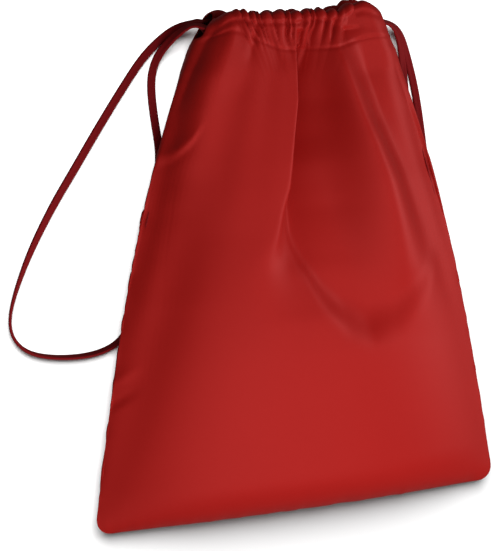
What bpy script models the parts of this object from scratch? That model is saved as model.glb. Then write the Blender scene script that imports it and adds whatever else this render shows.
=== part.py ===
"""Satin drawstring pouch, empty and closed, lying on its back.

Two outer panels and two lining panels are sewn together at the sides and the bottom. The top edge of
each outer panel is folded in and stitched down as a casing, and two looped drawstrings run through both
casings: one comes out at the left end of the mouth and the other at the right end.

+X is to the pouch's right, +Y runs from the bottom seam to the mouth and +Z is up from the surface that
the back lies on. The origin is on that surface, under the middle of the pouch.
"""

import math

import bpy
import numpy as np

MM = 0.001

# The pouch. Heights are measured along the pouch, from its bottom seam towards its mouth.
POUCH_HEIGHT = 344 * MM
WIDTH_STATIONS = np.array([0, 115, 230, 344]) * MM
HALF_WIDTHS = np.array([147.5, 127.5, 100.4, 59]) * MM
CORNER_RADIUS = 12 * MM
SEAM_Z = 14.2 * MM
SEAM_GAP = 2 * MM

# How far each face stands from the seam's level, and how far in from the seam it takes to get there.
BELLY_RISE = 31 * MM
MOUTH_RISE = SEAM_Z
FRONT_TURN_SHARE = 0.62
BACK_TURN = 70 * MM
FRONT_BOTTOM_TURN = 70 * MM
BACK_BOTTOM_TURN = 50 * MM

# Cloth.
OUTER_THICKNESS = 1.2 * MM
LINING_THICKNESS = 0.8 * MM
LINING_INSET = OUTER_THICKNESS + 1.8 * MM
LINING_TOP = 318 * MM

# The casing: a hem folded inwards round the drawstrings.
CASING_RADIUS = 4.2 * MM
CASING_CENTRE = 335.8 * MM
HEM_NARROWS = 327 * MM
HEM_EDGE = 321 * MM
HEM_EDGE_DEPTH = 2 * OUTER_THICKNESS + 0.4 * MM
CASING_END_ANGLE = math.radians(58)
SHOULDER_RISE = 4 * MM
SHOULDER_X = 48 * MM
SHOULDER_SPREAD = 9 * MM

# Gathers along the mouth, standing out from the outer panels.
PLEATS = 9
PLEAT_DEPTH = 1.4 * MM
PLEATS_START = 255 * MM

# Drawstrings.
CORD_RADIUS = 2 * MM
LEFT_CORD_LANE = CASING_CENTRE
RIGHT_CORD_LANE = CASING_CENTRE - 4.5 * MM
CORD_RING_RISE = MOUTH_RISE - CASING_RADIUS
SAMPLES_PER_SPAN = 2

OUTER_COLUMNS = 36
LINING_COLUMNS = 24

SATIN_RED = (0.36, 0.012, 0.013, 1)
LINING_RED = (0.25, 0.010, 0.012, 1)
CORD_RED = (0.22, 0.010, 0.014, 1)

# The free stretch of each drawstring, from the strand that leaves the back casing round to the strand
# that goes back into the front casing: x, height along the pouch and z, in millimetres.
LEFT_FREE_ROUTE = [
    (-63, 335.8, 11.6),
    (-69, 334.8, 8.6),
    (-77, 331.2, 5.2),
    (-86, 324.5, 2.9),
    (-98, 313, 2.2),
    (-113, 293, 2.1),
    (-129, 270, 2.1),
    (-145, 246, 2.1),
    (-161, 222, 2.1),
    (-176, 196, 2.1),
    (-187, 172, 2.1),
    (-193, 153, 2.1),
    (-192.5, 140, 2.1),
    (-185, 129.5, 2.1),
    (-172, 124, 2.1),
    (-154, 121.5, 2.1),
    (-137, 122.5, 2.1),
    (-123, 128, 2.1),
    (-114.5, 139, 2.1),
    (-110, 155, 2.1),
    (-104, 180, 2.1),
    (-97, 206, 2.1),
    (-91, 231, 2.1),
    (-89, 253, 2.1),
    (-91, 272, 2.1),
    (-92.5, 290, 2.1),
    (-92, 303, 2.6),
    (-88.5, 314, 4.6),
    (-81.5, 323.5, 8.4),
    (-72.5, 331.4, 13.4),
    (-63, 335.8, 16.8),
]
RIGHT_FREE_ROUTE = [
    (64.5, 331.3, 11.6),
    (71, 329.4, 8.4),
    (77.2, 325, 5.4),
    (82, 317, 3),
    (85.5, 306, 2.2),
    (89, 293, 2.1),
    (92.5, 276, 2.1),
    (95.5, 256, 2.1),
    (100, 230, 2.1),
    (107, 200, 2.1),
    (113.5, 170, 2.1),
    (120, 138, 2.1),
    (126.5, 106, 2.1),
    (131.5, 82, 2.1),
    (133, 69, 2.1),
    (129.5, 61, 2.1),
    (123.5, 60.5, 2.1),
    (119, 67, 2.1),
    (117, 82, 2.1),
    (114, 105, 2.1),
    (109, 138, 2.1),
    (103, 170, 2.1),
    (97, 200, 2.1),
    (91, 230, 2.1),
    (86.5, 256, 2.1),
    (84.5, 276, 2.1),
    (83, 292, 2.3),
    (81, 304, 3.6),
    (77.8, 315, 6.8),
    (72, 325.5, 12.4),
    (64.5, 331.3, 16.8),
]


def smooth_step(value, start, end):
    """0 before start, 1 after end, and a smooth S between."""
    t = np.clip((value - start) / (end - start), 0, 1)
    return t * t * (3 - 2 * t)


def half_width_at(height, depth=0):
    """A cubic through the four width stations, with the bottom corners rounded, at a depth under it."""
    cubic = np.polyfit(WIDTH_STATIONS, HALF_WIDTHS, 3)
    into_corner = CORNER_RADIUS - np.clip(height - depth, 0, CORNER_RADIUS)
    cut = CORNER_RADIUS - np.sqrt(CORNER_RADIUS**2 - into_corner**2)
    return np.polyval(cubic, height) - cut - depth


def front_turn_at(height):
    """How far in from the side seam the front panel goes on curving."""
    body = FRONT_TURN_SHARE * half_width_at(height)
    return body + (MOUTH_RISE - body) * smooth_step(height, 220 * MM, 328 * MM)


def front_rise_at(height):
    """The front panel's height above the seam's level, along the pouch's middle."""
    return BELLY_RISE + (MOUTH_RISE - BELLY_RISE) * smooth_step(height, 110 * MM, 328 * MM)


def back_turn_at(height):
    """How far in from the side seam the back panel lifts off the surface."""
    return BACK_TURN + (MOUTH_RISE - BACK_TURN) * smooth_step(height, 200 * MM, 325 * MM)


def back_rise_at(height):
    return np.full_like(height, SEAM_Z)


def panel_points(u, height, depth, face):
    """Points of a panel at a depth under its outer face: x and z of the cross-section at each height.

    Each section is level in the middle and then turns down to the seam along a quarter of an ellipse.
    The share u of a half section runs over the level part first and over the turn after it.
    """
    turn_at, rise_at, bottom_turn = {
        "front": (front_turn_at, front_rise_at, FRONT_BOTTOM_TURN),
        "back": (back_turn_at, back_rise_at, BACK_BOTTOM_TURN),
    }[face]
    half_width = half_width_at(height, depth)
    turn = turn_at(height) - depth
    from_bottom = np.clip(height - np.minimum(depth, LINING_INSET), 0, bottom_turn)
    swell = np.sqrt(1 - (1 - from_bottom / bottom_turn) ** 2)
    last_angle = math.pi / 2
    last_angle = last_angle + (CASING_END_ANGLE - last_angle) * smooth_step(height, 316 * MM, 326 * MM)
    level = half_width - turn
    level_share = level / (level + 1.25 * turn)
    side = np.abs(u)
    angle = np.clip((side - level_share) / (1 - level_share), 0, 1) * last_angle
    x = np.sign(u) * (level * np.minimum(side / level_share, 1) + turn * np.sin(angle))
    rise = SEAM_GAP / 2 + (rise_at(height) - depth - SEAM_GAP / 2) * swell * np.cos(angle)
    return x, rise


def pleat_height(u, height):
    """Round gathers that grow towards the mouth."""
    wave = 0.5 - 0.5 * np.cos(math.pi * PLEATS * (u + 1))
    grown = smooth_step(height, PLEATS_START, CASING_CENTRE)
    return PLEAT_DEPTH * wave * grown


def shoulder_height(x, height):
    """The mouth's edge stands a little higher near its two ends."""
    bump = np.exp(-(((np.abs(x) - SHOULDER_X) / SHOULDER_SPREAD) ** 2))
    return SHOULDER_RISE * bump * smooth_step(height, HEM_EDGE, CASING_CENTRE)


def body_rows(first, last):
    """Heights of the rows from the bottom seam up: close together round the bottom's turn."""
    turn_rows = first + (FRONT_BOTTOM_TURN - first) * (1 - np.cos(np.linspace(0, math.pi / 2, 7)))
    return np.concatenate([turn_rows, np.linspace(FRONT_BOTTOM_TURN, last, 11)[1:]])


def casing_rows():
    """Height and depth of the rows that go over the casing's fold and down inside it to the hem's edge."""
    over = np.radians([36, 72, 108, 144, 180])
    fold_height = CASING_CENTRE + CASING_RADIUS * np.sin(over)
    fold_depth = CASING_RADIUS * (1 - np.cos(over))
    hem_height = np.linspace(CASING_CENTRE, HEM_EDGE, 4)[1:]
    tube_depth = 2 * CASING_RADIUS
    narrowing = smooth_step(hem_height, HEM_EDGE, HEM_NARROWS)
    hem_depth = HEM_EDGE_DEPTH + (tube_depth - HEM_EDGE_DEPTH) * narrowing
    return np.concatenate([fold_height, hem_height]), np.concatenate([fold_depth, hem_depth])


def add_panel(name, face, heights, depths, columns, pleated, thickness, material, collection):
    """One panel: a grid moved to the panel's outer surface, and thickened inwards."""
    rows = len(heights)
    bpy.ops.mesh.primitive_grid_add(x_subdivisions=columns, y_subdivisions=rows - 1, size=2)
    panel = bpy.context.object
    panel.name = name
    panel.data.name = name
    flat = np.empty(len(panel.data.vertices) * 3)
    panel.data.vertices.foreach_get("co", flat)
    flat = flat.reshape(-1, 3)
    u = flat[:, 0]
    row = np.rint((flat[:, 1] + 1) / 2 * (rows - 1)).astype(int)
    height = heights[row]
    depth = depths[row]
    x, rise = panel_points(u, height, depth, face)
    y = height - POUCH_HEIGHT / 2
    if pleated:
        outside = 1 - smooth_step(depth, 0, CASING_RADIUS)
        rise = rise + pleat_height(u, height) * outside * (face == "front")
        y = y + shoulder_height(x, height)
    z = SEAM_Z + rise if face == "front" else SEAM_Z - rise
    panel.data.vertices.foreach_set("co", np.stack([x, y, z], axis=1).ravel())
    if face == "back":
        panel.data.flip_normals()
    panel.data.update()
    solidify = panel.modifiers.new("thickness", "SOLIDIFY")
    solidify.thickness = thickness
    solidify.offset = -1
    panel.data.shade_smooth()
    panel.data.materials.append(material)
    move_to(panel, collection)
    return panel


def cord_in_casing(side, lane):
    """Points of a drawstring inside the casings, from the front casing's end at this side, along it,
    round the far end of the mouth and back to the same side through the back casing."""
    level = float(half_width_at(lane - CORD_RADIUS)) - MOUTH_RISE
    near_turn = []
    for angle in np.radians([62, 42, 21, 0]):
        out = level + CORD_RING_RISE * math.sin(angle)
        near_turn.append((side * out, CORD_RING_RISE * math.cos(angle)))
    along = [(side * level * share, CORD_RING_RISE) for share in (0.5, 0, -0.5)]
    into_casing = near_turn + along
    far_turn = []
    for angle in np.radians([0, 30, 60, 90, 120, 150, 180]):
        out = level + CORD_RING_RISE * math.sin(angle)
        far_turn.append((-side * out, CORD_RING_RISE * math.cos(angle)))
    way_back = [(x, -rise) for x, rise in reversed(into_casing)]
    y = lane - POUCH_HEIGHT / 2
    return [(x, y, SEAM_Z + rise) for x, rise in into_casing + far_turn + way_back]


def smooth_loop(points, samples):
    """Points on a closed Catmull-Rom curve through the given points, a few to each span."""
    points = np.array(points)
    before = np.roll(points, 1, axis=0)
    after = np.roll(points, -1, axis=0)
    second = np.roll(points, -2, axis=0)
    found = []
    for t in np.arange(samples) / samples:
        found.append(
            0.5
            * (
                2 * points
                + (after - before) * t
                + (2 * before - 5 * points + 4 * after - second) * t**2
                + (3 * points - before - 3 * after + second) * t**3
            )
        )
    return np.stack(found, axis=1).reshape(-1, 3)


def add_drawstring(name, free_route, side, lane, material, collection):
    """One looped drawstring: its free stretch and its run through both casings, as a closed tube."""
    free = [(x * MM, height * MM - POUCH_HEIGHT / 2, z * MM) for x, height, z in free_route]
    route = smooth_loop(free + cord_in_casing(side, lane), SAMPLES_PER_SPAN)
    curve = bpy.data.curves.new(name, "CURVE")
    curve.dimensions = "3D"
    curve.bevel_depth = CORD_RADIUS
    curve.bevel_resolution = 2
    curve.use_fill_caps = True
    spline = curve.splines.new("POLY")
    spline.points.add(len(route) - 1)
    spline.points.foreach_set("co", np.c_[route, np.ones(len(route))].ravel())
    spline.use_cyclic_u = True
    cord = bpy.data.objects.new(name, curve)
    cord.data.materials.append(material)
    collection.objects.link(cord)
    return cord


def move_to(obj, collection):
    for holder in list(obj.users_collection):
        holder.objects.unlink(obj)
    collection.objects.link(obj)


def cloth_material(name, colour, roughness, sheen):
    material = bpy.data.materials.new(name)
    material.use_nodes = True
    shader = material.node_tree.nodes["Principled BSDF"]
    shader.inputs["Base Color"].default_value = colour
    shader.inputs["Roughness"].default_value = roughness
    shader.inputs["Metallic"].default_value = 0
    shader.inputs["Sheen Weight"].default_value = sheen
    return material


def build_pouch():
    for old in list(bpy.data.objects):
        bpy.data.objects.remove(old, do_unlink=True)
    pouch = bpy.data.collections.new("drawstring_pouch")
    bpy.context.scene.collection.children.link(pouch)

    satin = cloth_material("red_satin", SATIN_RED, 0.42, 0.3)
    lining = cloth_material("red_lining", LINING_RED, 0.6, 0.1)
    cord_cloth = cloth_material("red_cord", CORD_RED, 0.55, 0.2)

    fold_heights, fold_depths = casing_rows()
    outer_body = body_rows(0, CASING_CENTRE)
    outer_heights = np.concatenate([outer_body, fold_heights])
    outer_depths = np.concatenate([np.zeros(len(outer_body)), fold_depths])
    lining_heights = body_rows(LINING_INSET, LINING_TOP)
    lining_depths = np.full(len(lining_heights), LINING_INSET)
    for face in ("front", "back"):
        add_panel(
            f"outer_{face}_panel", face, outer_heights, outer_depths, OUTER_COLUMNS, True,
            OUTER_THICKNESS, satin, pouch,
        )
        add_panel(
            f"lining_{face}_panel", face, lining_heights, lining_depths, LINING_COLUMNS, False,
            LINING_THICKNESS, lining, pouch,
        )
    add_drawstring("left_drawstring", LEFT_FREE_ROUTE, -1, LEFT_CORD_LANE, cord_cloth, pouch)
    add_drawstring("right_drawstring", RIGHT_FREE_ROUTE, 1, RIGHT_CORD_LANE, cord_cloth, pouch)


build_pouch()
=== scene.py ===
"""The looks of a red satin drawstring pouch that lies on its back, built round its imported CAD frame.

+X is to the pouch's right, +Y runs from the bottom seam to the mouth and +Z is up from the floor.
Lengths are in metres; a number times MM is in millimetres.
"""

import math

import bpy
import numpy as np
from mathutils import Matrix, Vector


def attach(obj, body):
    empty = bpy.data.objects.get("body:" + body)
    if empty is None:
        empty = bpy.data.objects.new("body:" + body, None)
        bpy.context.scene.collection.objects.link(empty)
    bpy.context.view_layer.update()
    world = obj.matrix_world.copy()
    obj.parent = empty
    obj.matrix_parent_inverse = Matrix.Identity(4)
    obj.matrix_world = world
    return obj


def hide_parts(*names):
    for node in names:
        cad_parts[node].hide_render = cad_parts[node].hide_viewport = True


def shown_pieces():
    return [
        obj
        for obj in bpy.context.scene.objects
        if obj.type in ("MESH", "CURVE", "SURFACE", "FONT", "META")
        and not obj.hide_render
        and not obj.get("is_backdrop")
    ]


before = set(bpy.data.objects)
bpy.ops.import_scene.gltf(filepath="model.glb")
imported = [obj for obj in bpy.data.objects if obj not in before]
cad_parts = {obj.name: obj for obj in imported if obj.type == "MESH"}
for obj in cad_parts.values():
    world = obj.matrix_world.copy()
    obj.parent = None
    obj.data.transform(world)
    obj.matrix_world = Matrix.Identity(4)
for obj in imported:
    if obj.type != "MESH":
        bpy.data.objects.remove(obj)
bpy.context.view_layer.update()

# ---------------------------------------------------------------------------------------------------
# Camera. It looks down on the lying pouch from a metre away, a little from its left and its mouth.
# The long lens keeps the sewn outline nearly free of perspective.
# ---------------------------------------------------------------------------------------------------
MM = 0.001
AIM = Vector((-34.7, -4.5, 14.2)) * MM
YAW = math.radians(17.7)
PITCH = math.radians(11.9)
ROLL = math.radians(-1.7)
CAMERA_DISTANCE = 1001 * MM
LENS = 98.0

to_camera = Vector((-math.sin(YAW) * math.cos(PITCH), math.sin(PITCH), math.cos(YAW) * math.cos(PITCH)))
forward = -to_camera
level_right = forward.cross(Vector((0, 1, 0))).normalized()
level_up = level_right.cross(forward)
camera_right = math.cos(ROLL) * level_right + math.sin(ROLL) * level_up
camera_up = math.cos(ROLL) * level_up - math.sin(ROLL) * level_right

camera_data = bpy.data.cameras.new("camera")
camera_data.lens = LENS
camera_data.clip_start = 0.01
camera_data.clip_end = 20
camera = bpy.data.objects.new("camera", camera_data)
bpy.context.scene.collection.objects.link(camera)
camera.matrix_world = Matrix.Translation(AIM + CAMERA_DISTANCE * to_camera) @ Matrix(
    (camera_right, camera_up, to_camera)
).transposed().to_4x4()
bpy.context.scene.camera = camera

# ---------------------------------------------------------------------------------------------------
# Drawstrings. Each is a flat woven strap sewn into one closed loop, limp enough to lie as it falls. It
# leaves the back casing at one end of the mouth, lies on the floor and goes back in through the front
# casing; inside, it runs round the whole mouth.
# ---------------------------------------------------------------------------------------------------
POUCH_HEIGHT = 344 * MM
SEAM_Z = 14.2 * MM
CASING_CENTRE = 335.8 * MM
LEFT_LANE = CASING_CENTRE
RIGHT_LANE = CASING_CENTRE - 4.5 * MM
CASING_CORE = 10 * MM
CAD_CORD_RADIUS = 2 * MM
STRAP_WIDTH = 5.4 * MM
STRAP_THICKNESS = 2.3 * MM
STRAP_STEP = 1.6 * MM
ROUTE_SAMPLES = 12
RING_SMOOTHED = 16
STRAP_SIDES = 24
STRAP_SQUEEZED = 0.5
STRAP_SUNK_SHARE = 0.35
STRAP_SUNK_REACH = 0.22 * STRAP_WIDTH
STRAP_FLOOR_GAP = 0.1 * MM
LEFT_END_DROP = 4.5 * MM

# x, height along the pouch and z in millimetres, then the strap's lean in degrees: 0 lies flat, 90 stands
# on its edge.
LEFT_FREE_ROUTE = [
    (-63, 335.8, 11.6, -85),
    (-69, 334.8, 8.6, -62),
    (-77, 331.2, 5.2, -34),
    (-86, 324.5, 2.9, -14),
    (-98, 313, 2.2, -4),
    (-113, 293, 2.1, 0),
    (-129, 270, 2.1, 0),
    (-145, 246, 2.1, 6),
    (-161, 222, 2.1, 18),
    (-176, 196, 2.1, 38),
    (-187, 172, 2.1, 60),
    (-193, 153, 2.1, 76),
    (-192.5, 140, 2.1, 84),
    (-185, 129.5, 2.1, 86),
    (-172, 124, 2.1, 82),
    (-154, 121.5, 2.1, 76),
    (-137, 122.5, 2.1, 72),
    (-123, 128, 2.1, 70),
    (-114.5, 139, 2.1, 66),
    (-110, 155, 2.1, 52),
    (-104, 180, 2.1, 30),
    (-97, 206, 2.1, 12),
    (-91, 231, 2.1, 4),
    (-89, 253, 2.1, 0),
    (-91, 272, 2.1, 0),
    (-92.5, 290, 2.1, 4),
    (-92, 303, 2.6, 12),
    (-88.5, 314, 4.6, 26),
    (-81.5, 323.5, 8.4, 44),
    (-72.5, 331.4, 13.4, 66),
    (-63, 335.8, 16.8, 85),
]
RIGHT_FREE_ROUTE = [
    (65, 331.3, 11.6, 85),
    (72, 329.4, 8.4, 62),
    (79, 325, 5.4, 38),
    (84, 317, 3, 20),
    (87.5, 306, 2.2, 8),
    (91, 293, 2.1, 2),
    (94.5, 276, 2.1, 0),
    (97.5, 256, 2.1, 0),
    (101, 230, 2.1, 0),
    (107, 200, 2.1, 0),
    (113.5, 170, 2.1, 0),
    (120, 138, 2.1, 4),
    (126.5, 106, 2.1, 20),
    (132.5, 84, 2.1, 50),
    (135, 70, 2.1, 74),
    (132, 59, 2.1, 84),
    (124.5, 55.5, 2.1, 84),
    (117.5, 61, 2.1, 74),
    (116, 76, 2.1, 50),
    (114, 105, 2.1, 20),
    (109, 138, 2.1, 4),
    (103, 170, 2.1, 0),
    (97, 200, 2.1, 0),
    (92, 230, 2.1, 0),
    (88.5, 256, 2.1, 0),
    (86.5, 276, 2.1, 0),
    (85, 292, 2.3, -4),
    (83, 304, 3.6, -14),
    (80, 315, 6.8, -32),
    (73.5, 325.5, 12.4, -60),
    (65, 331.3, 16.8, -85),
]


def smooth_step(value, start, end):
    """0 before start, 1 after end, and the cubic 3t^2 - 2t^3 between."""
    t = np.clip((value - start) / (end - start), 0, 1)
    return t * t * (3 - 2 * t)


WIDTH_STATIONS = np.array([0, 115, 230, 344]) * MM
HALF_WIDTHS = np.array([147.5, 127.5, 100.4, 59]) * MM
CORNER_RADIUS = 12 * MM
width_cubic = np.polyfit(WIDTH_STATIONS, HALF_WIDTHS, 3)


def half_width_at(height):
    """Half the sewn width at a height: a cubic through four stations, with the bottom corners rounded."""
    into_corner = CORNER_RADIUS - np.clip(height, 0, CORNER_RADIUS)
    cut = CORNER_RADIUS - np.sqrt(CORNER_RADIUS**2 - into_corner**2)
    return np.polyval(width_cubic, height) - cut


def run_in_casing(side, lane):
    """A strap's points inside the casings: along the front one, round the mouth's far end in a half circle
    of radius CASING_CORE, and back through the back one, all at one height."""
    level = half_width_at(lane - CAD_CORD_RADIUS) - SEAM_Z
    near = np.radians([62, 42, 21, 0])
    far = np.radians([0, 30, 60, 90, 120, 150, 180])
    along = side * level * np.array([0.5, 0, -0.5])
    x = np.concatenate([side * (level + CASING_CORE * np.sin(near)), along])
    rise = np.concatenate([CASING_CORE * np.cos(near), np.full(3, CASING_CORE)])
    far_x = -side * (level + CASING_CORE * np.sin(far))
    x = np.concatenate([x, far_x, x[::-1]])
    rise = np.concatenate([rise, CASING_CORE * np.cos(far), -rise[::-1]])
    return np.stack([x, np.full(len(x), lane - POUCH_HEIGHT / 2), SEAM_Z + rise], axis=1)


def closed_curve(points, samples):
    """Catmull-Rom through a closed ring of points, with the same number of samples in each span."""
    before = np.roll(points, 1, axis=0)[:, None]
    after = np.roll(points, -1, axis=0)[:, None]
    second = np.roll(points, -2, axis=0)[:, None]
    here = points[:, None]
    t = (np.arange(samples) / samples)[None, :, None]
    spans = 0.5 * (
        2 * here
        + (after - before) * t
        + (2 * before - 5 * here + 4 * after - second) * t**2
        + (3 * here - before - 3 * after + second) * t**3
    )
    return spans.reshape(-1, points.shape[1])


def evenly_spaced(ring, step):
    """The closed ring again and its length, with points one step apart along it, each averaged with its
    neighbours RING_SMOOTHED times, so that no bend is tighter than a woven strap takes."""
    closed = np.vstack([ring, ring[:1]])
    along = np.concatenate([[0], np.cumsum(np.linalg.norm(np.diff(closed[:, :3], axis=0), axis=1))])
    at = np.linspace(0, along[-1], int(round(along[-1] / step)) + 1)[:-1]
    even = np.stack([np.interp(at, along, closed[:, k]) for k in range(closed.shape[1])], axis=1)
    for _ in range(RING_SMOOTHED):
        even = (np.roll(even, 1, axis=0) + 2 * even + np.roll(even, -1, axis=0)) / 4
    steps = np.linalg.norm(np.roll(even[:, :3], -1, axis=0) - even[:, :3], axis=1)
    return even, steps.sum()


def unit(vectors):
    """The vectors divided by their own lengths."""
    return vectors / np.linalg.norm(vectors, axis=-1, keepdims=True)


def grid_mesh(name, points, uv, close_rows=False, close_columns=False):
    """A mesh of quads over a grid of points (rows, columns, 3), with uv (rows, columns, 2) in metres.

    Vertex r * columns + c joins its neighbours in the next row and column; a closed side joins its last
    line to its first, and its last quads carry the uv on by one step."""
    rows, columns = points.shape[:2]
    r = np.arange(rows if close_rows else rows - 1)[:, None]
    c = np.arange(columns if close_columns else columns - 1)[None, :]
    corner_rows = np.stack(np.broadcast_arrays(r, r, r + 1, r + 1), axis=-1) + 0 * c[..., None]
    corner_columns = np.stack(np.broadcast_arrays(c, c + 1, c + 1, c), axis=-1) + 0 * r[..., None]
    quads = (corner_rows % rows) * columns + corner_columns % columns
    quads = quads.reshape(-1, 4)
    mesh = bpy.data.meshes.new(name)
    mesh.from_pydata([], [], [])
    mesh.vertices.add(rows * columns)
    mesh.vertices.foreach_set("co", points.reshape(-1).astype(np.float32))
    mesh.loops.add(quads.size)
    mesh.loops.foreach_set("vertex_index", quads.reshape(-1).astype(np.int32))
    mesh.polygons.add(len(quads))
    mesh.polygons.foreach_set("loop_start", np.arange(0, quads.size, 4, dtype=np.int32))
    mesh.update(calc_edges=True)
    step = uv[1:2, :1] - uv[:1, :1]
    over_rows = (corner_rows >= rows)[..., None] * (uv[-1:, :1] + step - uv[:1, :1])
    step = uv[:1, 1:2] - uv[:1, :1]
    over_columns = (corner_columns >= columns)[..., None] * (uv[:1, -1:] + step - uv[:1, :1])
    corner_uv = uv[corner_rows % rows, corner_columns % columns] + over_rows + over_columns
    layer = mesh.uv_layers.new(name="pattern")
    layer.data.foreach_set("uv", corner_uv.reshape(-1).astype(np.float32))
    mesh.shade_smooth()
    mesh.validate()
    obj = bpy.data.objects.new(name, mesh)
    bpy.context.scene.collection.objects.link(obj)
    return obj


def left_end_drop(x, z):
    """How far the front casing's left end hangs towards the bottom seam, with the strap in it: all of
    LEFT_END_DROP beyond x = -60 mm and above the seams, fading out to x = -46 mm and down to the seams."""
    return LEFT_END_DROP * smooth_step(-x, 46 * MM, 60 * MM) * smooth_step(z, SEAM_Z, SEAM_Z + 6 * MM)


def strap(name, free_route, side, lane, material):
    """A flat strap along its closed route. The section is a superellipse of the strap's width and thickness
    (the cosine to the power 0.75 and the sine to 0.6), a little sunk along its middle. It is set square to
    the route, with its flat side up at lean 0 and turned about the route by the lean. Inside the casings it
    is squeezed, and its flat side faces along the pouch. Where it lies on the floor it is lifted until its
    lower side is STRAP_FLOOR_GAP above it."""
    free = np.array(free_route, float)
    lean = np.radians(free[:, 3])
    inside = run_in_casing(side, lane)
    points = np.column_stack([free[:, 0], free[:, 1] - POUCH_HEIGHT / MM / 2, free[:, 2]]) * MM
    half_rise = 0.5 * np.hypot(STRAP_WIDTH * np.sin(lean), STRAP_THICKNESS * np.cos(lean))
    points[:, 2] += (half_rise + STRAP_FLOOR_GAP - CAD_CORD_RADIUS) * (1 - smooth_step(free[:, 2], 4, 12))
    free_rows = np.column_stack([points, lean, np.zeros(len(points))])
    casing_rows = np.column_stack([inside, np.zeros(len(inside)), np.ones(len(inside))])
    smooth_ring = closed_curve(np.vstack([free_rows, casing_rows]), ROUTE_SAMPLES)
    ring, length = evenly_spaced(smooth_ring, STRAP_STEP)
    route = ring[:, :3].copy()
    route[:, 1] -= left_end_drop(route[:, 0], route[:, 2])
    tangent = unit(np.roll(route, -1, axis=0) - np.roll(route, 1, axis=0))
    sideways = np.cross([0, 0, 1], tangent)
    sideways /= np.maximum(np.linalg.norm(sideways, axis=1, keepdims=True), 0.2)
    lean, in_casing = ring[:, 3:4], smooth_step(ring[:, 4:5], 0.2, 1)
    facing = (np.cos(lean) * [0, 0, 1] + np.sin(lean) * sideways) * (1 - in_casing) + in_casing * [0, 1, 0]
    squeezed = 1 - (1 - STRAP_SQUEEZED) * in_casing[:, :, None]
    facing = unit(facing - (facing * tangent).sum(1, keepdims=True) * tangent)
    across = np.cross(tangent, facing)
    angle = np.linspace(0, 2 * math.pi, STRAP_SIDES, endpoint=False)
    wide = np.sign(np.cos(angle)) * np.abs(np.cos(angle)) ** 0.75 * STRAP_WIDTH / 2
    thick = np.sign(np.sin(angle)) * np.abs(np.sin(angle)) ** 0.6 * STRAP_THICKNESS / 2
    thick = thick * (1 - STRAP_SUNK_SHARE * np.exp(-((wide / STRAP_SUNK_REACH) ** 2)))
    section = wide[None, :, None] * across[:, None] * squeezed + thick[None, :, None] * facing[:, None]
    around = np.arange(STRAP_SIDES)[None, :] / STRAP_SIDES * 2 * STRAP_WIDTH
    along = np.arange(len(route))[:, None] * STRAP_STEP
    uv = np.stack(np.broadcast_arrays(around, along), axis=-1)
    piece = grid_mesh(name, route[:, None] + section, uv, close_rows=True, close_columns=True)
    piece.data.materials.append(material)
    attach(piece, "root")
    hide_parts(name.replace("strap", "drawstring"))


def cloth_shader(name, colour, deep_colour, roughness, sheen, sheen_roughness, specular):
    """A principled cloth: two close shades of one colour mixed by soft noise, and its own sheen and gloss."""
    material = bpy.data.materials.new(name)
    material.use_nodes = True
    nodes, links = material.node_tree.nodes, material.node_tree.links
    shader = nodes["Principled BSDF"]
    shader.inputs["Roughness"].default_value = roughness
    shader.inputs["Sheen Weight"].default_value = sheen
    shader.inputs["Sheen Roughness"].default_value = sheen_roughness
    shader.inputs["Sheen Tint"].default_value = (1.0, 0.08, 0.06, 1)
    shader.inputs["Specular IOR Level"].default_value = specular
    shader.inputs["Specular Tint"].default_value = (1.0, 0.16, 0.15, 1)
    place = nodes.new("ShaderNodeTexCoord")
    shades = nodes.new("ShaderNodeTexNoise")
    shades.inputs["Scale"].default_value = 14
    shades.inputs["Detail"].default_value = 3
    links.new(place.outputs["Object"], shades.inputs["Vector"])
    blend = nodes.new("ShaderNodeMix")
    blend.data_type = "RGBA"
    blend.inputs["A"].default_value = (*deep_colour, 1)
    blend.inputs["B"].default_value = (*colour, 1)
    links.new(shades.outputs["Fac"], blend.inputs["Factor"])
    links.new(blend.outputs["Result"], shader.inputs["Base Color"])
    return material, shader


def add_weave(material, shader, pitch, depth, slant, crossed):
    """Threads in the cloth's own pattern: bands along a slant, and a second set across them where crossed."""
    nodes, links = material.node_tree.nodes, material.node_tree.links
    pattern = nodes.new("ShaderNodeUVMap")
    pattern.uv_map = "pattern"
    height = None
    for turn in (slant, slant + math.radians(90))[: 2 if crossed else 1]:
        lay = nodes.new("ShaderNodeMapping")
        lay.inputs["Rotation"].default_value = (0, 0, turn)
        links.new(pattern.outputs["UV"], lay.inputs["Vector"])
        threads = nodes.new("ShaderNodeTexWave")
        threads.wave_type = "BANDS"
        threads.bands_direction = "X"
        threads.inputs["Scale"].default_value = math.pi / 10 / pitch
        links.new(lay.outputs["Vector"], threads.inputs["Vector"])
        if height is None:
            height = threads.outputs["Fac"]
        else:
            both = nodes.new("ShaderNodeMath")
            both.operation = "MAXIMUM"
            links.new(height, both.inputs[0])
            links.new(threads.outputs["Fac"], both.inputs[1])
            height = both.outputs["Value"]
    bump = nodes.new("ShaderNodeBump")
    bump.inputs["Strength"].default_value = 0.6
    bump.inputs["Distance"].default_value = depth
    links.new(height, bump.inputs["Height"])
    links.new(bump.outputs["Normal"], shader.inputs["Normal"])


strap_cloth, strap_shader = cloth_shader(
    "red_woven_strap", (0.21, 0.008, 0.010), (0.16, 0.006, 0.008),
    roughness=0.58, sheen=0.15, sheen_roughness=0.5, specular=0.14,
)
add_weave(
    strap_cloth, strap_shader, pitch=0.9 * MM, depth=0.12 * MM, slant=math.radians(90), crossed=False
)
strap("left_strap", LEFT_FREE_ROUTE, side=-1, lane=LEFT_LANE, material=strap_cloth)
strap("right_strap", RIGHT_FREE_ROUTE, side=1, lane=RIGHT_LANE, material=strap_cloth)

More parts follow.
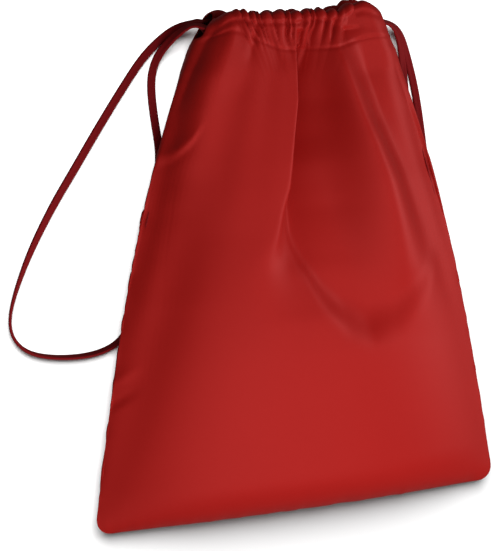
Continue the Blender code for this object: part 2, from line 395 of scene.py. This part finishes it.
# ---------------------------------------------------------------------------------------------------
# Outer satin. Two panels of lightly padded satin, cut as a tall trapezoid and sewn together at the sides
# and the bottom. The top edge of each is folded in and stitched down as a casing, and the drawstrings
# gather it, so that folds run down from the mouth and fade into the smooth belly.
# ---------------------------------------------------------------------------------------------------
BELLY_RISE = 31 * MM
FRONT_TURN_SHARE = 0.45
BACK_TURN = 70 * MM
FRONT_BOTTOM_TURN = 34 * MM
BACK_BOTTOM_TURN = 50 * MM
CASING_RADIUS = 4.2 * MM
HEM_NARROWS = 327 * MM
HEM_EDGE = 321 * MM
HEM_EDGE_DEPTH = 2.8 * MM
CASING_END_ANGLE = math.radians(58)
COLUMNS = 222
COLUMNS_IN_TURN = 1.25
# The rows are close together below and above these heights, in millimetres.
ROWS_CLOSE_BELOW = 14
ROWS_CLOSE_ABOVE = 284


def front_turn_at(height):
    """How far in from the side seam the front goes on curving: a share of the half width, then less and
    less of it up to the mouth."""
    body = FRONT_TURN_SHARE * half_width_at(height)
    return body + (SEAM_Z - body) * smooth_step(height, 220 * MM, 328 * MM)


def front_rise_at(height):
    """How far the front stands above the seams along its middle: the belly's rise, and less up to the
    mouth, where it is as far above the seams as they are above the floor."""
    return BELLY_RISE + (SEAM_Z - BELLY_RISE) * smooth_step(height, 110 * MM, 328 * MM)


def back_turn_at(height):
    """How far in from the side seam the back lifts off the floor."""
    return BACK_TURN + (SEAM_Z - BACK_TURN) * smooth_step(height, 200 * MM, 325 * MM)


def back_rise_at(height):
    """The back lies level on the floor, so it is as far below the seams as they are above the floor."""
    return np.full_like(height, SEAM_Z)


FACES = {
    "front": (front_turn_at, front_rise_at, FRONT_BOTTOM_TURN, 1),
    "back": (back_turn_at, back_rise_at, BACK_BOTTOM_TURN, -1),
}


def body_points(face, u, height, depth):
    """The plain swollen form of a panel at a depth under its outer face, for u from -1 to 1 across it.

    Each section is level in the middle and turns to the seam along a quarter of an ellipse; its rise grows
    from the bottom seam along another quarter ellipse. Below the mouth the front's section is a lens
    instead, 1 - s^3 for s from 0 in the middle to 1 at the seam. At the mouth's ends the turn stops at
    CASING_END_ANGLE, so that the casings stay apart there. The turn takes COLUMNS_IN_TURN times as many
    columns for its width as the level part does."""
    turn_at, rise_at, bottom_turn, way = FACES[face]
    half_width = half_width_at(height) - depth
    turn = turn_at(height) - depth
    from_bottom = np.clip(height, 0, bottom_turn)
    swell = np.sqrt(1 - (1 - from_bottom / bottom_turn) ** 2)
    end_open = smooth_step(height, 322 * MM, 331 * MM)
    last_angle = math.pi / 2 + (CASING_END_ANGLE - math.pi / 2) * end_open
    level = half_width - turn
    level_share = level / (level + COLUMNS_IN_TURN * turn)
    side = np.abs(u)
    angle = np.clip((side - level_share) / (1 - level_share), 0, 1) * last_angle
    x = np.sign(u) * (level * np.minimum(side / level_share, 1) + turn * np.sin(angle))
    section = np.cos(angle)
    if face == "front":
        lens = 1 - np.minimum(np.abs(x / half_width_at(height)), 1) ** 3
        section = lens + (section - lens) * smooth_step(height, 235 * MM, 322 * MM)
    rise = (rise_at(height) - depth) * swell * section
    return np.stack([x, height - POUCH_HEIGHT / 2, SEAM_Z + way * rise], axis=-1)


def panel_rows():
    """Heights and depths of a panel's rows: close together at the bottom seam, wider over the belly, close
    again at the mouth, then over the casing's fold and down inside it to the hem's edge."""
    bottom = ROWS_CLOSE_BELOW * MM * (1 - np.cos(np.linspace(0, math.pi / 2, 9)))[:-1]
    belly = np.linspace(ROWS_CLOSE_BELOW, ROWS_CLOSE_ABOVE, 91)[:-1] * MM
    mouth = np.linspace(ROWS_CLOSE_ABOVE * MM, CASING_CENTRE, 58)
    over = np.radians(np.linspace(0, 180, 15)[1:])
    fold = CASING_CENTRE + CASING_RADIUS * np.sin(over)
    hem = np.linspace(CASING_CENTRE, HEM_EDGE, 12)[1:]
    narrowing = smooth_step(hem, HEM_EDGE, HEM_NARROWS)
    heights = np.concatenate([bottom, belly, mouth, fold, hem])
    depths = np.concatenate(
        [
            np.zeros(len(bottom) + len(belly) + len(mouth)),
            CASING_RADIUS * (1 - np.cos(over)),
            HEM_EDGE_DEPTH + (2 * CASING_RADIUS - HEM_EDGE_DEPTH) * narrowing,
        ]
    )
    return heights, depths


LATTICE = 64


def value_noise(x, y, seed):
    """Smooth noise from -1 to 1: random values on a unit lattice that repeats after LATTICE steps, blended
    with the cubic 3t^2 - 2t^3."""
    lattice = np.random.default_rng(seed).uniform(-1, 1, (LATTICE, LATTICE))
    column, row = np.floor(x).astype(int), np.floor(y).astype(int)
    tx, ty = smooth_step(x - column, 0, 1), smooth_step(y - row, 0, 1)
    column, next_column = column % LATTICE, (column + 1) % LATTICE
    row, next_row = row % LATTICE, (row + 1) % LATTICE
    low = lattice[row, column] * (1 - tx) + lattice[row, next_column] * tx
    high = lattice[next_row, column] * (1 - tx) + lattice[next_row, next_column] * tx
    return low * (1 - ty) + high * ty


def noise_along(place, line, seed):
    """The same noise along one line of its lattice only, so that it varies in one direction."""
    return value_noise(place, 0 * place + line, seed)


# Where the drawstrings nip the casing into creases, from left to right.
NIPS = {
    "front": np.array([-43, -38, -32.5, -27.5, -25, -16.5, -8.5, -5.5, 3, 9, 12, 20.5, 28, 38.5]) * MM,
    "back": np.array([-36, -27, -19.5, -9, -1, 8, 17.5, 25, 34, 43]) * MM,
}
NIP_SEEDS = {"front": 3, "back": 4}
NIP_WANDER = 1.3 * MM
NIPS_CONVERGE = 0.018 / MM


def gathers(face, x, height):
    """Round puffs with sharp creases between them, from 0 in a crease to 1 on a puff's top.

    Between two neighbouring nips a puff is sin(pi t)^0.6, with t from 0 to 1 across it. Below the casing the
    nips draw together towards the middle, and noise makes them wander a little from side to side."""
    x = x * (1 + NIPS_CONVERGE * np.clip(CASING_CENTRE - height, 0, 45 * MM))
    x = x + NIP_WANDER * value_noise(x / (9 * MM) + 20, height / (9 * MM), NIP_SEEDS[face])
    nips = NIPS[face]
    t = np.interp(x, nips, np.arange(len(nips))) % 1
    return np.sin(math.pi * t) ** 0.6


# Folds of the front panel that run down it, each through a few stations: height, x, how far it stands out
# of the panel, and its reach to the left and to the right, in millimetres.
FOLDS_DOWN = {
    "centre_crease": [
        (140, 2, 0.0, 30, 34),
        (171, -5, -5.0, 20, 36),
        (197, -8, -13.0, 9, 37),
        (229, -7, -21.0, 4, 35),
        (260, -4.5, -25.0, 3, 31),
        (283, -1, -22.5, 2.6, 23),
        (303, 0, -16.0, 2.6, 14),
        (321, 1, -8.0, 2.8, 9),
        (333, 1, -2.5, 2.6, 5),
        (341, 1, 0.0, 3, 4),
    ],
    "left_ridge": [
        (200, -60, 0.0, 26, 44),
        (225, -60, 1.4, 24, 42),
        (254, -61, 2.6, 21, 40),
        (280, -60, 4.4, 17, 36),
        (303, -54, 5.4, 13, 28),
        (325, -45, 4.0, 9, 17),
        (341, -39, 0.0, 7, 9),
    ],
    "left_valley": [
        (250, -86, 0.0, 8, 8),
        (270, -82, -1.2, 7, 7),
        (285, -79, -2.2, 6, 7),
        (303, -73, -2.8, 6, 6),
        (321, -64, -2.8, 5, 6),
        (335, -58, -1.6, 5, 6),
        (343, -56, 0.0, 5, 6),
    ],
    "left_hollow": [
        (156, -97.5, 0.0, 16, 26),
        (187.5, -94.5, -3.7, 14, 20),
        (213, -88.5, -5.1, 13, 16),
        (234.5, -84, -2.9, 11, 14),
        (248, -81.5, 0.0, 10, 12),
    ],
    "right_ridge": [
        (118, 84, 0.0, 30, 30),
        (156, 75, 3.5, 28, 28),
        (195, 64, 9.0, 26, 26),
        (229, 54, 14.0, 22, 26),
        (259, 44, 15.0, 17, 24),
        (283, 36, 12.0, 12, 20),
        (308, 28.5, 7.0, 10, 12),
        (329, 22.5, 0.0, 9, 9),
    ],
    "right_valley": [
        (165, 92, 0.0, 16, 20),
        (200, 85, -4.0, 15, 22),
        (236, 75, -7.0, 14, 24),
        (269, 61, -9.5, 13, 26),
        (300, 50, -9.0, 11, 24),
        (325, 44, 0.0, 10, 14),
    ],
    "upper_hollow": [
        (118.5, 44, 0.0, 34, 34),
        (146.5, 37.5, -3.9, 34, 30),
        (181, 29, -5.8, 32, 26),
        (213, 22.5, -5.3, 28, 22),
        (244, 15.5, 0.0, 24, 20),
    ],
    "mouth_crease_1": [
        (301, -13, 0.0, 6, 4),
        (315, -15.5, -1.6, 5, 2.2),
        (327, -19.5, -2.4, 4, 2),
        (337, -21.5, 0.0, 3, 2),
    ],
    "mouth_crease_2": [
        (305, -5, 0.0, 6, 3),
        (315, -6.5, -1.4, 5, 2.2),
        (326, -8.5, -2.0, 4, 2),
        (337, -9.5, 0.0, 3, 2),
    ],
    "mouth_crease_3": [
        (297, 4, 0.0, 3, 7),
        (311, 6, -1.8, 2.4, 6),
        (325, 9, -2.2, 2, 5),
        (337, 11, 0.0, 2, 3),
    ],
    "shoulder_crease": [
        (317, 35.5, 0.0, 3, 6),
        (327, 32.5, -2.0, 2.4, 5),
        (337, 33.5, -2.4, 2.4, 4),
        (346, 32.5, 0.0, 2, 3),
    ],
    "left_gather": [
        (307, -34.5, 0.0, 4, 5),
        (321, -31.5, -1.8, 3, 3),
        (331, -28.5, -2.0, 2.4, 3),
        (341, -27.5, 0.0, 2, 2),
    ],
}

# Folds that run across it: x, height, how far it stands out, and its reach below and above.
FOLDS_ACROSS = {
    "left_tuck": [
        (-106, 248, 0.0, 3.5, 7),
        (-94, 250, 1.8, 3, 8),
        (-82, 254, 2.5, 3, 8),
        (-71, 263, 1.6, 3, 7),
        (-64, 275, 0.0, 4, 6),
    ],
    "belly_edge": [
        (-14, 206, 0.0, 12, 24),
        (-3, 186, -4.0, 13, 30),
        (10, 166, -6.0, 15, 34),
        (25, 151, -7.0, 17, 38),
        (43, 142, -6.5, 18, 40),
        (65, 148, -5.0, 18, 36),
        (85, 166, -3.0, 16, 30),
        (98, 184, 0.0, 14, 26),
    ],
    "left_pucker": [
        (-136, 87, 0.0, 3, 4),
        (-128, 92, -1.8, 2.5, 4.5),
        (-114, 100, 0.0, 3, 6),
    ],
    "left_pleat": [
        (-133, 103, 0.0, 3, 4),
        (-125, 107, 1.5, 2.5, 5),
        (-112, 115, 0.0, 4, 6),
    ],
    "shoulder_pleat": [
        (14, 335, 0.0, 4, 4),
        (26, 330.5, -1.8, 6, 4),
        (40, 326.5, -2.2, 8, 4),
        (56, 325, 0.0, 9, 4),
    ],
}
FOLD_BLEND = 13


def folds(across, along, plan):
    """The sum of the folds. At each place along it, a fold stands out as exp(-t^power), where t is the
    distance across it over its reach on that side. The power is 1.7 times the square root of the other
    side's reach over this side's, kept between 1.2 and 4.5, so that a lopsided fold is a pleat with one
    abrupt side. A fold's place, depth and reach run straight between the stations and are then averaged
    over FOLD_BLEND millimetres."""
    total = np.zeros_like(across)
    blend = np.hanning(FOLD_BLEND + 2)[1:-1]
    for stations in plan.values():
        stations = np.array(stations, float)
        marks = np.arange(stations[0, 0] - FOLD_BLEND, stations[-1, 0] + FOLD_BLEND + 1)
        lines = [np.interp(marks, stations[:, 0], values) for values in stations[:, 1:].T]
        padded = [np.pad(line, FOLD_BLEND // 2, mode="edge") for line in lines]
        lines = [np.convolve(line, blend / blend.sum(), "valid") for line in padded]
        centre, depth, before, after = [np.interp(along / MM, marks, line) * MM for line in lines]
        away = across - centre
        own, other = np.where(away < 0, before, after), np.where(away < 0, after, before)
        power = np.clip(1.7 * np.sqrt(other / own), 1.2, 4.5)
        total += depth * np.exp(-((np.abs(away) / own) ** power))
    return total


HEM_LINE_LOW = 316 * MM


def hem_line(x):
    """The height of the stitching that holds the casing's hem: lowest in the middle, where the cloth is
    drawn up most, 13 mm higher at the left and 6 mm at the right."""
    left, right = smooth_step(-x, 4 * MM, 48 * MM), smooth_step(x, 18 * MM, 56 * MM)
    return HEM_LINE_LOW + 13 * MM * left + 6 * MM * right


def surface_normals(points):
    """Unit normals of a grid: the cross product of its steps along a row and from row to row."""
    along_row = np.gradient(points, axis=1)
    row_to_row = np.gradient(points, axis=0)
    return unit(np.cross(along_row, row_to_row) + 1e-15)


PUFF_DEPTH = 3.2 * MM
PUFF_LEVEL = 0.55
PUFFS_BELOW = 0.1
PUFFS_INSIDE = 0.3
ROLL_LINE = 333.5 * MM
ROLL_WIDTH = 1.5 * MM
HEM_STEP = 0.3 * MM
STITCH_GROOVE = 0.45 * MM
STITCH_REACH = 1.1 * MM


def clear_of_side(from_side):
    """0 up to 3 mm from the side seam and 1 from 20 mm on, for relief that leaves the seam alone."""
    return smooth_step(from_side, 3 * MM, 20 * MM)


def casing_relief(face, x, height, depth, from_side):
    """How far a panel stands out along its normals round the mouth.

    The puffs swell by PUFF_DEPTH in the casing, by a tenth of it just below and by less on its inner wall.
    On the outside a shallow groove just under the rim sets off its roll, and the hem stands out by a small
    step, with the stitching's groove along it."""
    drawn = smooth_step(height, 315 * MM, 333 * MM)
    trail = smooth_step(height, 290 * MM, 322 * MM) * (1 - drawn)
    between_ends = smooth_step(-np.abs(x), -47 * MM, -36 * MM)
    swollen = PUFF_DEPTH * (drawn + PUFFS_BELOW * trail) * (gathers(face, x, height) - PUFF_LEVEL)
    swollen = swollen * between_ends
    swollen *= 1 - (1 - PUFFS_INSIDE) * smooth_step(depth, CASING_RADIUS, 2 * CASING_RADIUS)
    outside = depth == 0
    roll_depth = (0.7 + 0.4 * noise_along(x / (11 * MM), 3.5, 6)) * MM
    roll_line = ROLL_LINE + 1.2 * MM * noise_along(x / (13 * MM), 8.5, 7)
    roll = roll_depth * np.exp(-(((height - roll_line) / ROLL_WIDTH) ** 2))
    swollen -= roll * outside * clear_of_side(from_side)
    to_hem = height - hem_line(x)
    groove = STITCH_GROOVE * np.exp(-((to_hem / STITCH_REACH) ** 2))
    hem_step = HEM_STEP * smooth_step(to_hem, 0, 2 * MM) - groove
    return swollen + hem_step * clear_of_side(from_side) * outside


SHOULDER_RISE = 6 * MM
LEFT_SHOULDER_SHARE = 0.4
RIM_WANDER = 0.8 * MM


def bell(x, middle, reach):
    """A bell of height 1 round a middle: exp(-t^2), with t the distance from the middle over the reach."""
    return np.exp(-(((x - middle) / reach) ** 2))


def mouth_lift(face, x, z, height, from_side):
    """How far the mouth's rim rises along the pouch: a shoulder at the right end, a lower one at the left
    end and a little noise between. The front's left end hangs down with the strap in it."""
    lift = SHOULDER_RISE * bell(x, 44.5 * MM, 10 * MM)
    line = 1.5 + 3 * FACES[face][3]
    lift += RIM_WANDER * noise_along(x / (7 * MM), line, 12) * clear_of_side(from_side)
    if face == "front":
        lift += LEFT_SHOULDER_SHARE * SHOULDER_RISE * bell(x, -41 * MM, 8 * MM)
        lift -= left_end_drop(x, z)
    else:
        lift += LEFT_SHOULDER_SHARE * SHOULDER_RISE * bell(x, -47 * MM, 9 * MM)
    return lift * smooth_step(height, HEM_EDGE, CASING_CENTRE)


SEAM_PUCKER = 0.9 * MM
BOTTOM_TUCK = 0.5 * MM
BACK_DRAWN_IN = 1.6 * MM
CASING_GIVES = 1.9 * MM
BODY_GIVES = 20 * MM
RIM_OVERHANG = 3 * MM
FLOOR_GAP = 0.15 * MM


def fold_relief(face, x, height, from_side):
    """How far the folds move a panel: the front's named folds, puckers along the side seams and small
    tucks along the bottom seam. The back has no folds and is only drawn in at the mouth."""
    if face == "front":
        moved = folds(x, height, FOLDS_DOWN) + folds(height, x, FOLDS_ACROSS)
        moved *= smooth_step(from_side, 0, 9 * MM)
    else:
        moved = -BACK_DRAWN_IN * smooth_step(height, 315 * MM, 333 * MM)
    near_seam = bell(from_side, 0, 10 * MM) * smooth_step(from_side, 0, 4 * MM)
    moved = moved + SEAM_PUCKER * near_seam * noise_along(height / (6.5 * MM) + 9 * (x > 0), 2.5, 8)
    moved *= smooth_step(height, 4 * MM, 24 * MM)
    near_bottom = bell(height, 0, 9 * MM) * smooth_step(height, 0, 3 * MM) * clear_of_side(from_side)
    return moved + BOTTOM_TUCK * near_bottom * noise_along(x / (5 * MM), 6.5, 5)


def panel_points(face, heights, depths):
    """A whole panel: the swollen form, its relief round the mouth, its folds and its mouth's lift.

    The relief swells the casing along its own normals. The folds carry its outer wall along its normals and
    its inner wall the same way, against its own normals, so that the casing keeps its thickness. A fold
    sinks no deeper than the casing gives, or than BODY_GIVES further down. The centre crease's left rim
    hangs over the crease."""
    way = FACES[face][3]
    u = np.linspace(-1, 1, COLUMNS + 1)[None, :]
    height, depth = heights[:, None] + 0 * u, depths[:, None] + 0 * u
    base = body_points(face, u + 0 * height, height, depth)
    x = base[..., 0]
    outward = surface_normals(base) * way
    from_side = (1 - np.abs(u)) * half_width_at(height)
    swollen = casing_relief(face, x, height, depth, from_side)
    lift = mouth_lift(face, x, base[..., 2], height, from_side)
    moved = fold_relief(face, x, height, from_side)
    deepest = CASING_GIVES + BODY_GIVES * (1 - smooth_step(height + lift, 318 * MM, 330 * MM))
    moved = np.maximum(moved, -deepest - np.minimum(swollen, 0))
    hem = (depth > 0) & (height < CASING_CENTRE - 0.01 * MM)
    wall = np.where(hem, -1, 1 - depth / CASING_RADIUS)[..., None]
    carried = outward * wall + np.array([0, 0, way]) * (1 - np.abs(wall))
    points = base + outward * swollen[..., None] + carried * moved[..., None]
    points[..., 1] += lift
    if face == "front":
        crease = np.array(FOLDS_DOWN["centre_crease"], float)
        line = np.interp(height / MM, crease[:, 0], crease[:, 1]) * MM
        overhang = RIM_OVERHANG * np.interp(height / MM, crease[:, 0], crease[:, 2]) / crease[:, 2].min()
        points[..., 0] += overhang * bell(x - line, -4.5 * MM, 3 * MM)
    points[..., 2] = np.maximum(points[..., 2], FLOOR_GAP)
    return points


satin, satin_shader = cloth_shader(
    "red_satin", (0.34, 0.0085, 0.0065), (0.31, 0.0075, 0.006),
    roughness=0.5, sheen=0.06, sheen_roughness=0.4, specular=0.5,
)
add_weave(satin, satin_shader, pitch=0.55 * MM, depth=0.03 * MM, slant=math.radians(45), crossed=False)

# The simulation that draws the cloth in takes every third row and column of the panels. The slack is a
# share of the width and grows over SLACK_GROWS. PIN and GUIDE say how firmly the cloth is held to its place
# where it is sewn or in the casing, and everywhere else. The rest are Blender's cloth settings.
SIMULATED_EVERY = 3
SIMULATED_SHARE = 0.5
SEWN_UP_TO = 322 * MM
SLACK = 0.05
SLACK_FROM = 130 * MM
SLACK_GROWS = 110 * MM
SLACK_REACH = 0.45
SETTLE_FRAMES = 36
DRAW_FRAMES = 16
QUALITY = 8
GUIDE = 0.1
PIN = 1.0
TENSION = 20.0
SHEAR = 5.0
BEND = 6.0
AIR = 0.02


def spread_out(points, height):
    """A panel before its drawstrings are pulled: every row wider by its slack. The slack lies in the row's
    middle part, and the strips along the seams are only moved out."""
    slack = SLACK * smooth_step(height, SLACK_FROM, SLACK_FROM + SLACK_GROWS)[:, None]
    half = half_width_at(height)[:, None]
    share = points[..., 0] / half
    wider = points.copy()
    wider[..., 0] += slack * half * np.tanh(share / SLACK_REACH) * np.tanh(1 / SLACK_REACH)
    return wider


def settle(front, back, height):
    """Draws the two panels in as cloth. They are one mesh, joined where they are sewn. It starts spread
    out, then the casing and the seams are moved in to their places over DRAW_FRAMES, and the cloth between
    them, held only by GUIDE, folds until SETTLE_FRAMES."""
    rows, columns = front.shape[:2]
    r, c = np.meshgrid(np.arange(rows), np.arange(columns), indexing="ij")
    edge = (c == 0) | (c == columns - 1)
    sewn = (r == 0) | (edge & (height[r] < SEWN_UP_TO))
    front_index = r * columns + c
    back_index = front_index.copy()
    back_index[~sewn] = rows * columns + np.arange((~sewn).sum())
    quads = []
    for index, order in ((front_index, (0, 1, 2, 3)), (back_index, (3, 2, 1, 0))):
        corners = [index[:-1, :-1], index[:-1, 1:], index[1:, 1:], index[1:, :-1]]
        quads.append(np.stack([corners[k] for k in order], axis=-1).reshape(-1, 4))
    wide = np.concatenate([spread_out(front, height).reshape(-1, 3), spread_out(back, height)[~sewn]])
    mesh = bpy.data.meshes.new("settling")
    mesh.from_pydata(wide.tolist(), [], np.concatenate(quads).tolist())
    cloth = bpy.data.objects.new("settling", mesh)
    bpy.context.scene.collection.objects.link(cloth)
    cloth.shape_key_add(name="spread_out")
    drawn_in = cloth.shape_key_add(name="drawn_in")
    drawn_in.data.foreach_set("co", np.concatenate([front.reshape(-1, 3), back[~sewn]]).ravel())
    casing = smooth_step(height, 318 * MM, 328 * MM)
    hold = np.where(edge | (r == 0), 1, GUIDE + (1 - GUIDE) * casing[r])
    hold = np.round(np.concatenate([hold.ravel(), hold[~sewn]]), 3)
    group = cloth.vertex_groups.new(name="held")
    for value in np.unique(hold[hold > 0]):
        group.add(np.flatnonzero(hold == value).tolist(), float(value), "REPLACE")
    modifier = cloth.modifiers.new("settle", "CLOTH")
    springs = modifier.settings
    springs.quality = QUALITY
    springs.mass = 0.1
    springs.tension_stiffness = TENSION
    springs.compression_stiffness = TENSION
    springs.shear_stiffness = SHEAR
    springs.bending_stiffness = BEND
    springs.bending_damping = 0.5
    springs.air_damping = 2
    springs.vertex_group_mass = "held"
    springs.pin_stiffness = PIN
    springs.use_pressure = True
    springs.uniform_pressure_force = AIR
    springs.effector_weights.gravity = 0
    modifier.point_cache.frame_start = 1
    modifier.point_cache.frame_end = SETTLE_FRAMES
    for moment, value in ((1, 0), (DRAW_FRAMES, 1)):
        drawn_in.value = value
        drawn_in.keyframe_insert("value", frame=moment)
    for moment in range(1, SETTLE_FRAMES + 1):
        bpy.context.scene.frame_set(moment)
    settled = cloth.evaluated_get(bpy.context.evaluated_depsgraph_get())
    moved = np.empty(len(settled.data.vertices) * 3, np.float32)
    settled.data.vertices.foreach_get("co", moved)
    moved = moved.reshape(-1, 3).astype(float)
    bpy.context.scene.frame_set(1)
    bpy.data.objects.remove(cloth)
    return moved[front_index], moved[back_index]


def share_kept(panel, height):
    """How much of the simulated movement a panel takes: SIMULATED_SHARE over its body, fading out up to the
    casing, over the outer 0.3 of its half width and beside the centre crease."""
    share = SIMULATED_SHARE * (1 - smooth_step(height, 290 * MM, 318 * MM))[:, None]
    side = np.abs(np.linspace(-1, 1, panel.shape[1]))[None, :]
    share = share * smooth_step(1 - side, 0, 0.3)
    return share * (1 - bell(panel[..., 0], -4 * MM, 18 * MM))


def averaged(moved, passes):
    """Every value but those on the border averaged with its neighbours, as a quarter, a half and a quarter,
    first from row to row and then along the rows."""
    moved = moved.copy()
    for _ in range(passes):
        moved[1:-1] = (moved[:-2] + 2 * moved[1:-1] + moved[2:]) / 4
        moved[:, 1:-1] = (moved[:, :-2] + 2 * moved[:, 1:-1] + moved[:, 2:]) / 4
    return moved


def between(coarse, rows, columns):
    """A coarse grid's values at every row and column between its own, by straight lines."""
    fine_rows = np.arange(rows[-1] + 1)
    fine_columns = np.arange(columns[-1] + 1)
    low = np.clip(np.searchsorted(rows, fine_rows, side="right") - 1, 0, len(rows) - 2)
    share = ((fine_rows - rows[low]) / (rows[low + 1] - rows[low]))[:, None, None]
    tall = coarse[low] * (1 - share) + coarse[low + 1] * share
    low = np.clip(np.searchsorted(columns, fine_columns, side="right") - 1, 0, len(columns) - 2)
    share = ((fine_columns - columns[low]) / (columns[low + 1] - columns[low]))[None, :, None]
    return tall[:, low] * (1 - share) + tall[:, low + 1] * share


heights, depths = panel_rows()
panels = {face: panel_points(face, heights, depths) for face in ("front", "back")}
body_rows = np.flatnonzero(depths == 0)
some_rows = body_rows[(len(body_rows) - 1) % SIMULATED_EVERY :: SIMULATED_EVERY]
some_rows = np.unique(np.concatenate([[0], some_rows]))
some_columns = np.arange(0, COLUMNS + 1, SIMULATED_EVERY)
start = [panels[face][some_rows][:, some_columns] for face in ("front", "back")]
end = settle(*start, heights[some_rows])
for face, was, now in zip(("front", "back"), start, end):
    moved = averaged((now - was) * share_kept(was, heights[some_rows])[..., None], passes=2)
    panels[face][: some_rows[-1] + 1] += between(moved, some_rows, some_columns)
    panels[face][..., 2] = np.maximum(panels[face][..., 2], FLOOR_GAP)

SATIN_THICKNESS = 0.9 * MM
FLAT_BOTTOM = 300 * MM
FLAT_TOP = 232 * MM
for face, points in panels.items():
    flat_length = np.concatenate([[0], np.cumsum(np.hypot(np.diff(heights), np.diff(depths)))])
    flat_width = FLAT_BOTTOM + (FLAT_TOP - FLAT_BOTTOM) * flat_length / flat_length[-1]
    u = np.linspace(-1, 1, COLUMNS + 1)[None, :]
    uv = np.stack(np.broadcast_arrays(u * flat_width[:, None] / 2, flat_length[:, None]), axis=-1)
    panel = grid_mesh(f"satin_{face}", points, uv)
    if face == "back":
        panel.data.flip_normals()
    panel.data.materials.append(satin)
    thickness = panel.modifiers.new("padding", "SOLIDIFY")
    thickness.thickness = SATIN_THICKNESS
    thickness.offset = -1
    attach(panel, "root")
    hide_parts(f"outer_{face}_panel")

# ---------------------------------------------------------------------------------------------------
# Lining. A thin plain-woven cloth behind each panel, caught in the side seams, the bottom seam and the
# hem. Only a little of it shows between the two casings.
# ---------------------------------------------------------------------------------------------------
LINING_TOP = 319 * MM
LINING_INSET = 2.2 * MM
LINING_THICKNESS = 0.5 * MM
LINING_NARROWER = 0.012
LINING_LOWEST = 1.6 * MM
lining_cloth, lining_shader = cloth_shader(
    "red_lining", (0.24, 0.010, 0.012), (0.20, 0.008, 0.010),
    roughness=0.6, sheen=0.1, sheen_roughness=0.5, specular=0.3,
)
add_weave(lining_cloth, lining_shader, pitch=0.5 * MM, depth=0.05 * MM, slant=0, crossed=True)
for face in ("front", "back"):
    way = FACES[face][3]
    rows = np.flatnonzero((heights < LINING_TOP) & (depths == 0))[3::2]
    outer = panels[face]
    inset = (outer - surface_normals(outer) * way * LINING_INSET)[rows][:, 1:-1:2]
    side = np.linspace(-1, 1, inset.shape[1])[None, :]
    inset[..., 0] *= 1 - LINING_NARROWER * np.abs(side) ** 6
    inset[..., 2] = np.maximum(inset[..., 2], LINING_LOWEST)
    lining = grid_mesh(f"lining_{face}", inset, uv=inset[..., :2])
    if face == "back":
        lining.data.flip_normals()
    lining.data.materials.append(lining_cloth)
    thickness = lining.modifiers.new("thickness", "SOLIDIFY")
    thickness.thickness = LINING_THICKNESS
    thickness.offset = -1
    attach(lining, "root")
    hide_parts(f"lining_{face}_panel")

# ---------------------------------------------------------------------------------------------------
# Floor and light. A plain white floor under a broad soft light from beyond the mouth, which leaves the
# shadow by the bottom seam. The pouch has a soft light over its belly, one from its right and a fill.
# ---------------------------------------------------------------------------------------------------
FLOOR_SIZE = 6.0
bpy.ops.mesh.primitive_plane_add(size=FLOOR_SIZE, location=(0, 0, 0))
floor = bpy.context.object
floor.name = "floor"
floor_paint = bpy.data.materials.new("floor_white")
floor_paint.use_nodes = True
floor_shader = floor_paint.node_tree.nodes["Principled BSDF"]
floor_shader.inputs["Base Color"].default_value = (0.9, 0.9, 0.9, 1)
floor_shader.inputs["Roughness"].default_value = 0.9
floor_shader.inputs["Specular IOR Level"].default_value = 0.1
floor.data.materials.append(floor_paint)
floor.visible_diffuse = False
floor.visible_glossy = False
floor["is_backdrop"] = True

world = bpy.data.worlds.new("studio")
bpy.context.scene.world = world
world.use_nodes = True
world.node_tree.nodes["Background"].inputs["Color"].default_value = (1, 1, 1, 1)
world.node_tree.nodes["Background"].inputs["Strength"].default_value = 0.14


def area_light(name, direction, distance, size, strength, receivers):
    """A square light that far from the frame's origin, turned to face it, that lights the receivers only.
    Its power grows with the square of the distance, so that strength is the light that reaches them."""
    data = bpy.data.lights.new(name, "AREA")
    data.shape = "SQUARE"
    data.size = size
    data.energy = strength * math.pi * distance**2 * 4
    lamp = bpy.data.objects.new(name, data)
    away = Vector(direction).normalized()
    lamp.location = away * distance
    lamp.rotation_mode = "QUATERNION"
    lamp.rotation_quaternion = away.to_track_quat("Z", "Y")
    lamp.light_linking.receiver_collection = receivers
    bpy.context.scene.collection.objects.link(lamp)


lit_pieces = bpy.data.collections.new("lit_pieces")
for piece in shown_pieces():
    lit_pieces.objects.link(piece)
lit_floor = bpy.data.collections.new("lit_floor")
lit_floor.objects.link(floor)
area_light("floor_light", (-0.2, 0.72, 0.95), 1.8, size=1.2, strength=1.65, receivers=lit_floor)
area_light("belly_light", (0.0, -0.17, 0.46), 0.5, size=0.45, strength=0.61, receivers=lit_pieces)
area_light("shaping_light", (0.62, 0.0, 0.38), 0.8, size=0.4, strength=0.40, receivers=lit_pieces)
area_light("fill_light", (-0.34, -0.36, 0.40), 0.62, size=0.4, strength=0.11, receivers=lit_pieces)
bpy.context.scene.view_settings.view_transform = "Standard"
